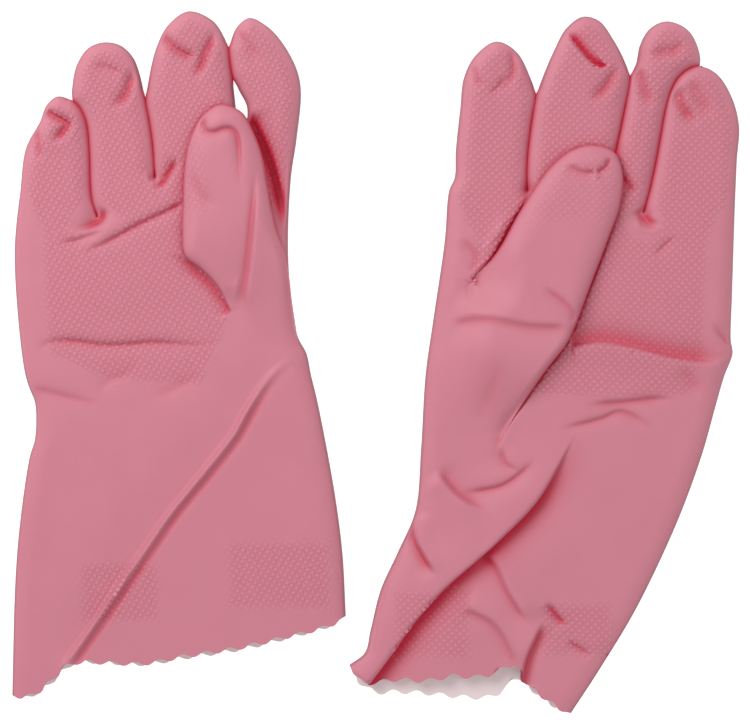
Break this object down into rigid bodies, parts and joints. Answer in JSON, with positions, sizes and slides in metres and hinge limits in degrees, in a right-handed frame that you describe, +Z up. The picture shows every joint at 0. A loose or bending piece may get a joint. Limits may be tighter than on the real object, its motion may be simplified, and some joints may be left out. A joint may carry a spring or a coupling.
{
  "type": "pair of rubber gloves",
  "caption": "Pair of long household rubber gloves laid flat, palms up, thumbs folded over, with an embossed grip and scalloped flock-lined cuffs.",
  "frame": {"origin": "centre of the pair's outline, on the surface it lies on", "axes": "+Z up out of the palms, +Y towards the fingertips, +X from the right-hand glove to the left-hand glove"},
  "size_m": [0.323, 0.3123, 0.0245],
  "materials": {
    "film": "matte dipped latex, fine diamond grip on the palm side",
    "flock": "short cotton flock"
  },
  "bodies": {
    "right_hand": {"right_hand_film": "film", "right_hand_lining": "flock", "right_finger_roots_film": "film", "right_finger_roots_lining": "flock"},
    "right_cuff": {"right_cuff_film": "film", "right_cuff_lining": "flock"},
    "right_thumb": {"right_thumb_film": "film", "right_thumb_lining": "flock"},
    "right_index": {"right_index_film": "film", "right_index_lining": "flock"},
    "right_middle": {"right_middle_film": "film", "right_middle_lining": "flock"},
    "right_ring": {"right_ring_film": "film", "right_ring_lining": "flock"},
    "right_little": {"right_little_film": "film", "right_little_lining": "flock"},
    "left_hand": {"left_hand_film": "film", "left_hand_lining": "flock", "left_finger_roots_film": "film", "left_finger_roots_lining": "flock"},
    "left_cuff": {"left_cuff_film": "film", "left_cuff_lining": "flock"},
    "left_thumb": {"left_thumb_film": "film", "left_thumb_lining": "flock"},
    "left_index": {"left_index_film": "film", "left_index_lining": "flock"},
    "left_middle": {"left_middle_film": "film", "left_middle_lining": "flock"},
    "left_ring": {"left_ring_film": "film", "left_ring_lining": "flock"},
    "left_little": {"left_little_film": "film", "left_little_lining": "flock"}
  },
  "joints": [
    {"name": "gloves_apart", "type": "slide", "parent": "right_hand", "child": "left_hand", "axis": [1, 0, 0], "range_m": [0, 0.08]},
    {"name": "right_index_curl", "type": "hinge", "parent": "right_hand", "child": "right_index", "pos_m": [-0.05009, 0.116, 0.013], "axis": [0.9999, 0.0164, 0], "range_deg": [0, 90]},
    {"name": "right_middle_curl", "type": "hinge", "parent": "right_hand", "child": "right_middle", "pos_m": [-0.0816, 0.116, 0.013], "axis": [0.9998, 0.0175, 0], "range_deg": [0, 90]},
    {"name": "right_ring_curl", "type": "hinge", "parent": "right_hand", "child": "right_ring", "pos_m": [-0.11503, 0.10577, 0.013], "axis": [0.988, 0.1544, 0], "range_deg": [0, 90]},
    {"name": "right_little_curl", "type": "hinge", "parent": "right_hand", "child": "right_little", "pos_m": [-0.14121, 0.0855, 0.013], "axis": [0.9999, 0.0135, 0], "range_deg": [0, 90]},
    {"name": "right_thumb_lift", "type": "hinge", "parent": "right_hand", "child": "right_thumb", "pos_m": [-0.061, 0.046, 0.0245], "axis": [0.9934, 0.1146, 0], "range_deg": [0, 90]},
    {"name": "right_cuff_fold", "type": "hinge", "parent": "right_hand", "child": "right_cuff", "pos_m": [-0.089, -0.026, 0.013], "axis": [-1, 0, 0], "range_deg": [0, 90]},
    {"name": "left_index_curl", "type": "hinge", "parent": "left_hand", "child": "left_index", "pos_m": [0.05368, 0.10558, 0.013], "axis": [0.9964, -0.0848, 0], "range_deg": [0, 90]},
    {"name": "left_middle_curl", "type": "hinge", "parent": "left_hand", "child": "left_middle", "pos_m": [0.09125, 0.11423, 0.013], "axis": [0.9899, -0.1414, 0], "range_deg": [0, 90]},
    {"name": "left_ring_curl", "type": "hinge", "parent": "left_hand", "child": "left_ring", "pos_m": [0.12174, 0.11497, 0.013], "axis": [0.9809, -0.1943, 0], "range_deg": [0, 90]},
    {"name": "left_little_curl", "type": "hinge", "parent": "left_hand", "child": "left_little", "pos_m": [0.14563, 0.09614, 0.013], "axis": [0.9929, -0.1187, 0], "range_deg": [0, 90]},
    {"name": "left_thumb_lift", "type": "hinge", "parent": "left_hand", "child": "left_thumb", "pos_m": [0.067, 0.028, 0.0245], "axis": [0.8807, -0.4736, 0], "range_deg": [0, 90]},
    {"name": "left_cuff_fold", "type": "hinge", "parent": "left_hand", "child": "left_cuff", "pos_m": [0.085, -0.028, 0.013], "axis": [-0.9848, -0.1736, 0], "range_deg": [0, 90]}
  ]
}
